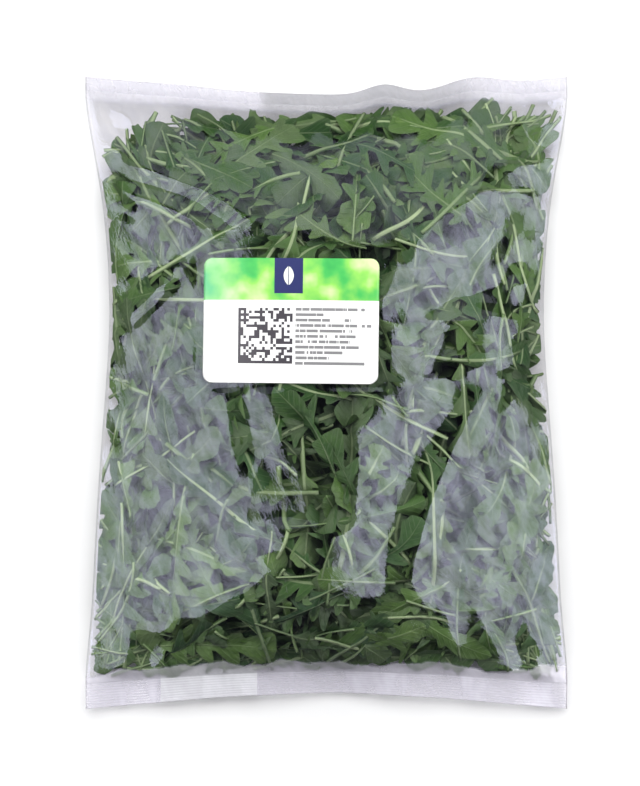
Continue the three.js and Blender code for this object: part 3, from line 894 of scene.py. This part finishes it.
# The label's colours
PAPER = (0.9, 0.9, 0.89)
BAND_GREENS = [
    (0.32, (0.01, 0.27, 0.07)), (0.46, (0.06, 0.45, 0.09)), (0.57, (0.26, 0.62, 0.1)),
    (0.7, (0.62, 0.8, 0.38)),
]
BAND_COOL = (0.15, 0.5, 0.3)
NAVY = (0.02, 0.026, 0.11)
TAB_LEAF = (0.85, 0.88, 0.8)
BLOCK_INK = (0.05, 0.045, 0.055)
MARK_INK = (0.05, 0.05, 0.06)

# The label's print, in mm from its middle: the band's lower edge; the tab's middle and half sides; the
# leaf shape in it, where two circles beside its middle overlap; the square's left, bottom, side and
# cells; and the rows of marks: left, top, pitch, number, share of the pitch that is printed, and
# shortest row with what a row may have more
BAND_BOTTOM = 11.2
TAB_X, TAB_Y, TAB_HALF_WIDTH, TAB_HALF_HEIGHT = -0.5, 25.5, 8.0, 10.5
LEAF_CIRCLE_X, LEAF_CIRCLE_Y, LEAF_CIRCLE_RADIUS, LEAF_SPLIT = 4.0, 25.0, 6.8, 0.25
SQUARE_LEFT, SQUARE_BOTTOM, SQUARE_SIDE, SQUARE_CELLS = -29.0, -24.2, 31.0, 20
ROW_LEFT, ROW_TOP, ROW_PITCH, ROW_COUNT, ROW_SHARE = 3.6, 7.6, 3.0, 11, 0.54
ROW_RIGHT, ROW_RIGHT_MORE = 19.0, 29.0


class Value:
    """A number in a material: operators on it add Math nodes."""

    def __init__(self, finish, socket):
        self.finish, self.socket = finish, socket

    def __add__(self, other):
        return self.finish.math("ADD", self, other)

    def __radd__(self, other):
        return self.finish.math("ADD", other, self)

    def __sub__(self, other):
        return self.finish.math("SUBTRACT", self, other)

    def __rsub__(self, other):
        return self.finish.math("SUBTRACT", other, self)

    def __mul__(self, other):
        return self.finish.math("MULTIPLY", self, other)

    def __rmul__(self, other):
        return self.finish.math("MULTIPLY", other, self)

    def __truediv__(self, other):
        return self.finish.math("DIVIDE", self, other)

    def __pow__(self, other):
        return self.finish.math("POWER", self, other)

    def __gt__(self, other):
        return self.finish.math("GREATER_THAN", self, other)

    def __lt__(self, other):
        return self.finish.math("LESS_THAN", self, other)

    def __abs__(self):
        return self.finish.math("ABSOLUTE", self)


class Finish:
    """One material. node() adds any node; the other methods are shorthands that call it."""

    def __init__(self, name):
        self.material = bpy.data.materials.new(name)
        self.material.use_nodes = True
        self.tree = self.material.node_tree
        self.tree.nodes.clear()

    def node(self, kind, settings=None, sockets=None, output=0):
        """Adds a node, sets its own settings first and then its sockets, and returns an output."""
        node = self.tree.nodes.new(kind)
        for name, value in (settings or {}).items():
            if name == "stops":
                self.set_stops(node.color_ramp, value)
            else:
                setattr(node, name, value)
        for name, value in (sockets or {}).items():
            if isinstance(value, Value):
                self.tree.links.new(value.socket, node.inputs[name])
            else:
                node.inputs[name].default_value = value
        return Value(self, node.outputs[output])

    @staticmethod
    def set_stops(ramp, stops):
        """Gives a colour ramp its stops, as pairs of a place and a colour."""
        while len(ramp.elements) < len(stops):
            ramp.elements.new(0.5)
        for element, (place, colour) in zip(ramp.elements, stops):
            element.position, element.color = place, (*colour, 1)

    def math(self, operation, *values):
        return self.node("ShaderNodeMath", {"operation": operation}, dict(enumerate(values)))

    def step(self, low, high, value):
        """0 below low and 1 above high, with a smooth rise between."""
        return self.node(
            "ShaderNodeMapRange", {"interpolation_type": "SMOOTHSTEP"},
            {"Value": value, "From Min": low, "From Max": high},
        )

    def mix(self, share, first, second):
        """Blends two colours."""
        return self.node(
            "ShaderNodeMix", {"data_type": "RGBA"},
            {0: share, 6: first if isinstance(first, Value) else (*first, 1),
             7: second if isinstance(second, Value) else (*second, 1)}, 2,
        )

    def ramp(self, value, stops):
        return self.node("ShaderNodeValToRGB", {"stops": stops}, {"Fac": value})

    def noise(self, vector, scale, detail=2.0, roughness=0.5):
        return self.node(
            "ShaderNodeTexNoise", {},
            {"Vector": vector, "Scale": scale, "Detail": detail, "Roughness": roughness},
        )

    def attribute(self, name):
        return self.node("ShaderNodeAttribute", {"attribute_name": name}, output=2)

    def place(self):
        """Object coordinates, in metres."""
        return self.node("ShaderNodeTexCoord", output=3)

    def uv_parts(self, name):
        """The two coordinates of a UV map."""
        vector = self.node("ShaderNodeUVMap", {"uv_map": name})
        return vector, self.part(vector, 0), self.part(vector, 1)

    def part(self, vector, number):
        return self.node("ShaderNodeSeparateXYZ", {}, {0: vector}, number)

    def vector(self, x, y, z=0.0):
        return self.node("ShaderNodeCombineXYZ", {}, {0: x, 1: y, 2: z})

    def bump(self, height, distance, strength=1.0):
        return self.node(
            "ShaderNodeBump", {}, {"Height": height, "Distance": distance, "Strength": strength}
        )

    def principled(self, sockets):
        return self.node("ShaderNodeBsdfPrincipled", {}, sockets)

    def show(self, shader):
        """Links the last shader to the material's output."""
        output = self.tree.nodes.new("ShaderNodeOutputMaterial")
        self.tree.links.new(shader.socket, output.inputs["Surface"])
        return self.material


def film_material():
    """Clear film: see-through, with an uneven mirror share that grows towards a grazing view, and fine
    wrinkles, stronger along the side folds. It is milky in the sealed fins, with crimp ribs in the
    bottom one, hazy beside the top one and in small tents beside the bottom one. In the bottom fin
    the band where the film laps over is paler, and streaks across that fin are made milkier and so
    paler: painted glints."""
    film = Finish("clear_film")
    flat, u, v = film.uv_parts("flat")
    x, y = u * 100.0, v * 100.0
    bottom_start, top_start = BOTTOM_FIN_START * HALF_LENGTH, TOP_FIN_START * HALF_LENGTH
    in_bottom = film.step(bottom_start - 0.6, bottom_start + 0.6, 0 - y)
    in_top = film.step(top_start - 0.6, top_start + 0.6, y)
    in_haze = film.step(TOP_HAZE_START, TOP_HAZE_START + 5, y)
    stretched = film.noise(film.vector(u * 9.0 + v * 5.0, v * 4.0 - u * 2.0), 1.0, 4.0, 0.65)
    swell = film.noise(film.vector(u * 2.6, 4.0), 1.0, 2.0) * 24.0 + stretched * 5.0 - 14.0
    tents = film.step(LOW_HAZE_START, LOW_HAZE_START + 2, swell - y) * (1 - in_bottom)
    dull = in_bottom + in_haze + tents
    in_lap = (x > LAP_LEFT) * (x < LAP_RIGHT)
    middle = film.step(*TOP_MIDDLE_LEFT, x) * (1 - film.step(*TOP_MIDDLE_RIGHT, x))
    by_side = film.step(*(share * HALF_WIDTH for share in SIDE_WRINKLE_SPAN), abs(x))
    rib = film.math("SINE", y * (2 * math.pi / CRIMP_PITCH))
    graze = film.node("ShaderNodeLayerWeight", {}, {"Blend": 0.5}, 1)
    cloud = film.noise(flat, 7.0, 3.0, 0.6)
    mottle = film.step(0.3, 0.68, stretched)
    # Painted highlight: streaks where the bottom fin is made milkier, and so paler, in place of glints
    painted_glints = film.step(0.5, 0.7, film.noise(film.vector(u * 6.0, v * 1.5), 1.0, 2.0))
    uneven = MIRROR_LEAST + MIRROR_CLOUD * cloud + MIRROR_MOTTLE * mottle
    mirror = MIRROR_SHARE * uneven + GRAZE_SHARE * graze**5
    # The bottom fin's milky share: its own haze, plus the painted glints in streaks
    milk_and_glints = in_bottom * (0.2 + 0.15 * in_lap + 0.03 * rib + 0.08 * cloud + 0.16 * painted_glints)
    haze = in_haze * (0.14 + 0.12 * middle + 0.1 * mottle) + in_top * (0.1 + 0.1 * middle)
    share = film.math("MINIMUM", mirror + milk_and_glints + haze + 0.3 * tents, 1.0)
    top_colour = film.mix(middle, TOP_COLOUR, TOP_MIDDLE_COLOUR)
    bottom_colour = film.mix(in_lap, FIN_COLOUR, LAP_COLOUR)
    tint = film.mix(dull, FILM_TINT, film.mix(y > 0.0, bottom_colour, top_colour))
    clear = film.node("ShaderNodeBsdfTransparent", {}, {"Color": (*FILM_PASSES, 1)})
    wrinkles = stretched * (1 + 3.0 * by_side) * (1 - in_bottom) + 0.2 * rib * in_bottom
    glossy = film.principled({
        "Base Color": tint, "Metallic": 1 - 0.8 * dull, "Roughness": 0.08,
        "Normal": film.bump(wrinkles, 0.0005, 0.5),
    })
    return film.show(film.node("ShaderNodeMixShader", {}, {0: share, 1: clear, 2: glossy}))


def leaf_material():
    """Rocket leaf: green that varies by leaf, in soft patches and in fine streaks along the side veins,
    with a pale midrib, palest where it is thick, and a greyer underside. Its face is buckled. It
    darkens with its depth below the film, where the leaves above shade it."""
    leaf = Finish("rocket_leaf")
    flat, across, along = leaf.uv_parts("leaf")
    tone, under, rib, deep = (leaf.attribute(name) for name in ("tone", "under", "rib", "deep"))
    patches = leaf.noise(leaf.place(), 55.0, 3.0)
    across_mm, along_mm = abs(across) * 100.0, along * 100.0
    slanted = along_mm - across_mm * VEIN_SLANT
    streaks = leaf.noise(leaf.vector(slanted * 0.55, across_mm * 0.16, tone * 90.0), 1.0, 3.0, 0.6)
    green = leaf.ramp(tone * 0.7 + patches * 0.3 + streaks * 0.34 - 0.17, LEAF_GREENS)
    cool = leaf.math("FRACT", tone * 13.0)
    green = leaf.mix(cool * 0.35, green, COOL_GREEN)
    green = leaf.mix(under * 0.55, green, UNDERSIDE_GREEN)
    chosen = leaf.math("FRACT", tone * 37.0)
    on_rib = 1 - leaf.step(0.5, 1.05, across_mm / rib)
    thick = leaf.step(0.25, 1.0, rib)
    line = abs(leaf.math("FRACT", slanted / VEIN_PITCH) - 0.5)
    side_vein = leaf.step(0.4, 0.5, line) * leaf.step(0.3, 1.5, across_mm)
    green = leaf.mix(side_vein * 0.14, green, VEIN_GREEN)
    pale = on_rib * (0.12 + thick * (0.25 + 0.6 * chosen**2.0))
    colour = leaf.mix(pale, green, MIDRIB_COLOUR)
    colour = leaf.mix(leaf.step(2.0, 20.0, deep) * 0.8, colour, SHADE)
    buckled = leaf.noise(leaf.place(), 95.0, 2.0)
    veined = on_rib * 0.5 + side_vein * 0.35 + streaks * 0.8 + buckled * 5.0
    return leaf.show(leaf.principled({
        "Base Color": colour, "Roughness": 0.5 - 0.12 * patches, "Specular IOR Level": 0.35,
        "Normal": leaf.bump(veined, 0.0005, 0.8),
    }))


def core_material():
    """The leaves deep in the heap: their green painted dark as shade, broken up at leaf scale."""
    core = Finish("deep_leaves")
    mottle = core.noise(core.place(), 85.0, 4.0, 0.6)
    return core.show(core.principled({
        "Base Color": core.ramp(mottle, CORE_SHADE_GREENS), "Roughness": 0.7,
        "Normal": core.bump(mottle, 0.004),
    }))


def band_print(label, x, y):
    """The colour of the soft green band: blurred light, cooler towards the left."""
    blur = label.noise(label.vector(x / 30.0, y / 30.0), 1.4, 1.0)
    spots = label.noise(label.vector(x / 30.0 + 7.0, y / 30.0), 3.4, 2.0)
    green = label.ramp(blur * 0.75 + spots * 0.25 + 0.06, BAND_GREENS)
    return label.mix(label.step(-20.0, -48.0, x) * 0.55, green, BAND_COOL)


def random_cell(label, dimensions, sockets):
    """A random number for each cell."""
    return label.node("ShaderNodeTexWhiteNoise", {"noise_dimensions": dimensions}, sockets)


def square_print(label, x, y):
    """1 on the ink of a square of random blocks, with a full row and column at its lower left."""
    cell = SQUARE_SIDE / SQUARE_CELLS
    column = label.math("FLOOR", (x - SQUARE_LEFT) / cell)
    row = label.math("FLOOR", (y - SQUARE_BOTTOM) / cell)
    chance = random_cell(label, "2D", {"Vector": label.vector(column, row)})
    blocks = label.math("MAXIMUM", chance > 0.52, label.math("MAXIMUM", column < 0.5, row < 0.5))
    last = SQUARE_CELLS - 0.5
    return (column > -0.5) * (column < last) * (row > -0.5) * (row < last) * blocks


def row_print(label, x, y):
    """1 on the ink of rows of small marks, broken up by noise, each row with its own length."""
    line = (ROW_TOP - y) / ROW_PITCH
    number = label.math("FLOOR", line)
    height = abs(label.math("FRACT", line) - 0.5)
    right = ROW_RIGHT + ROW_RIGHT_MORE * random_cell(label, "1D", {"W": number + 3.0})
    marks = label.noise(label.vector(x / 1.1, number * 9.1), 1.0, 1.0)
    groups = label.noise(label.vector(x / 6.0, number * 5.7), 1.0, 0.0)
    in_rows = (number > -0.5) * (number < ROW_COUNT - 0.5) * (height < ROW_SHARE / 2)
    return in_rows * (x > ROW_LEFT) * (x < right) * (marks > 0.38) * (groups > 0.3)


def label_material():
    """White label with a soft green band, a plain navy tab with a leaf shape, a square of random
    blocks and rows of small grey marks."""
    label = Finish("printed_label")
    _, u, v = label.uv_parts("print")
    x, y = u * 100.0, v * 100.0
    colour = label.mix(y > BAND_BOTTOM, PAPER, band_print(label, x, y))
    in_tab = (abs(x - TAB_X) < TAB_HALF_WIDTH) * (abs(y - TAB_Y) < TAB_HALF_HEIGHT)
    colour = label.mix(in_tab, colour, NAVY)
    left, right = (
        label.math("SQRT", (x - middle) ** 2.0 + (y - LEAF_CIRCLE_Y) ** 2.0)
        for middle in (TAB_X - LEAF_CIRCLE_X, TAB_X + LEAF_CIRCLE_X)
    )
    in_leaf = (left < LEAF_CIRCLE_RADIUS) * (right < LEAF_CIRCLE_RADIUS)
    colour = label.mix(in_leaf * (abs(x - TAB_X) > LEAF_SPLIT), colour, TAB_LEAF)
    colour = label.mix(square_print(label, x, y), colour, BLOCK_INK)
    colour = label.mix(row_print(label, x, y) * 0.8, colour, MARK_INK)
    return label.show(label.principled({
        "Base Color": colour, "Roughness": 0.38, "Coat Weight": 0.15,
        "Normal": label.bump(label.noise(label.place(), 900.0, 2.0), 0.00005, 0.4),
    }))


# Stage


CAMERA_HEIGHT = 1.1
CAMERA_LENS = 85.5
CAMERA_X = -0.0038

FLOOR_SIZE, FLOOR_DROP = 8, 0.0002
FLOOR_COLOUR = (0.8, 0.8, 0.805)
WORLD_COLOUR, WORLD_STRENGTH = (0.9, 0.92, 1.0), 0.06

# Two long soft boxes beside the bag and a dim one beyond its top seal, which the film mirrors, and a
# large soft light from beyond the top seal with a weaker one on each side. Each has a place, two sides
# and a radiance, and says whether the film mirrors it
LIGHTS = [
    ("left_box", (-0.9, -0.25, 0.62), (1.7, 1.2), 2.3, True),
    ("right_box", (0.9, -0.25, 0.62), (1.7, 1.2), 2.6, True),
    ("top_end_box", (0.0, 1.5, 1.0), (3.4, 2.2), 0.62, True),
    ("soft_key", (0.0, 1.5, 1.7), (2.6, 2.0), 5.7, False),
    ("left_fill", (-1.5, 0.0, 0.9), (1.0, 1.5), 3.0, False),
    ("right_fill", (1.5, 0.0, 0.9), (1.0, 1.5), 3.0, False),
]


def make_floor():
    """A wide pale floor just under the bag, which the film doesn't mirror."""
    floor = Finish("pale_floor")
    material = floor.show(floor.principled({"Base Color": (*FLOOR_COLOUR, 1), "Roughness": 0.9}))
    bpy.ops.mesh.primitive_plane_add(size=FLOOR_SIZE, location=(0, 0, -FLOOR_DROP))
    plane = bpy.context.object
    plane.name = "floor"
    plane.data.materials.append(material)
    plane.visible_glossy = False


def add_light(name, place, size, radiance, mirrored):
    """A rectangular soft box of even radiance that faces the bag. The film mirrors the ones that are
    mirrored, and the others light the bag and the floor softly."""
    lamp = bpy.data.lights.new(name, "AREA")
    lamp.shape = "RECTANGLE"
    lamp.size, lamp.size_y = size
    lamp.energy = radiance * math.pi * size[0] * size[1]
    light = bpy.data.objects.new(name, lamp)
    bpy.context.scene.collection.objects.link(light)
    light.location = place
    light.rotation_euler = Vector(place).to_track_quat("Z", "Y").to_euler()
    light.visible_glossy = mirrored
    light.visible_diffuse = not mirrored


def make_world():
    """A faint even light from all round."""
    world = bpy.data.worlds.new("room")
    world.use_nodes = True
    background = world.node_tree.nodes["Background"].inputs
    background[0].default_value = (*WORLD_COLOUR, 1)
    background[1].default_value = WORLD_STRENGTH
    bpy.context.scene.world = world


def make_camera():
    """Straight above the bag, at the photograph's framing."""
    camera = bpy.data.cameras.new("camera")
    camera.lens = CAMERA_LENS
    camera.clip_end = 20
    viewer = bpy.data.objects.new("camera", camera)
    viewer.location = (CAMERA_X, 0, CAMERA_HEIGHT)
    bpy.context.scene.collection.objects.link(viewer)
    bpy.context.scene.camera = viewer


make_camera()
FRONT, BACK = make_skins()
make_film(FRONT, BACK, film_material())
make_leaves(FRONT, BACK, leaf_material())
make_core(FRONT, BACK, core_material())
make_label(FRONT, label_material())
make_floor()
for light in LIGHTS:
    add_light(*light)
make_world()
bpy.context.scene.view_settings.view_transform = "Standard"
bpy.context.scene.cycles.transparent_max_bounces = 16
